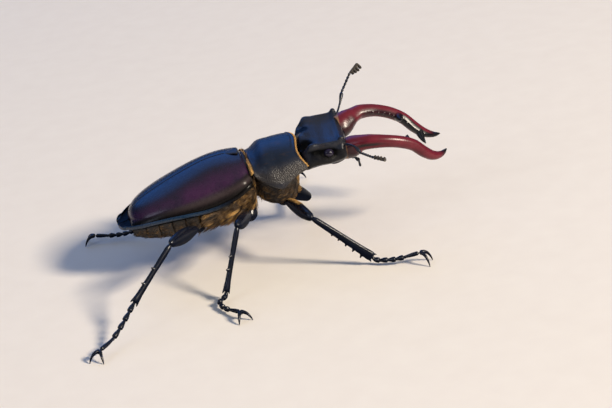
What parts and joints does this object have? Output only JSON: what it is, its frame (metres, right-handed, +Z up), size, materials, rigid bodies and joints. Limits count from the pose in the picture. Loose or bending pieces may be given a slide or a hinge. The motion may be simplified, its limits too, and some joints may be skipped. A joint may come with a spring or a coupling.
{
  "type": "stag beetle",
  "caption": "Life-size male stag beetle standing on all its legs, with long antler-like jaws reaching forward, raised feelers and closed wing cases.",
  "frame": {"origin": "on the floor plane that the claws stand on, under the middle of the whole beetle's length and width", "axes": "+X towards the tips of the jaws, +Y to the beetle's left, +Z up"},
  "size_m": [0.087, 0.0762, 0.0327],
  "materials": {
    "black_shell": "satin black chitin with a blue sheen and fine granules",
    "plum_wing_case": "polished very dark chestnut-plum chitin",
    "burgundy_horn": "polished deep red-brown chitin with black edges and points",
    "belly_plate": "black chitin under short golden-brown hair",
    "leg_shell": "polished blue-black chitin",
    "club_felt": "dull grey-brown chitin with a fine felt",
    "eye": "wet-looking black-violet facets",
    "golden_hair": "golden-brown bristles and short felted hair, in the visual model only"
  },
  "bodies": {
    "root": {"head": "black_shell", "labrum": "black_shell", "mentum": "black_shell", "eye_left": "eye", "eye_right": "eye", "mandible_left": "burgundy_horn", "mandible_right": "burgundy_horn", "maxillary_palp_left": "black_shell", "maxillary_palp_right": "black_shell", "antenna_scape_left": "black_shell", "antenna_stalk_left": "black_shell", "antenna_club_left": "club_felt", "antenna_scape_right": "black_shell", "antenna_stalk_right": "black_shell", "antenna_club_right": "club_felt", "pronotum": "black_shell", "prosternum": "belly_plate", "scutellum": "black_shell", "elytron_left": "plum_wing_case", "elytron_right": "plum_wing_case", "metathorax": "belly_plate", "abdomen": "belly_plate", "coxa_front_left": "leg_shell", "femur_front_left": "leg_shell", "tibia_front_left": "leg_shell", "tarsus_front_left": "leg_shell", "claws_front_left": "leg_shell", "coxa_front_right": "leg_shell", "femur_front_right": "leg_shell", "tibia_front_right": "leg_shell", "tarsus_front_right": "leg_shell", "claws_front_right": "leg_shell", "coxa_mid_left": "leg_shell", "femur_mid_left": "leg_shell", "tibia_mid_left": "leg_shell", "tarsus_mid_left": "leg_shell", "claws_mid_left": "leg_shell", "coxa_mid_right": "leg_shell", "femur_mid_right": "leg_shell", "tibia_mid_right": "leg_shell", "tarsus_mid_right": "leg_shell", "claws_mid_right": "leg_shell", "coxa_hind_left": "leg_shell", "femur_hind_left": "leg_shell", "tibia_hind_left": "leg_shell", "tarsus_hind_left": "leg_shell", "claws_hind_left": "leg_shell", "coxa_hind_right": "leg_shell", "femur_hind_right": "leg_shell", "tibia_hind_right": "leg_shell", "tarsus_hind_right": "leg_shell", "claws_hind_right": "leg_shell"}
  },
  "joints": []
}
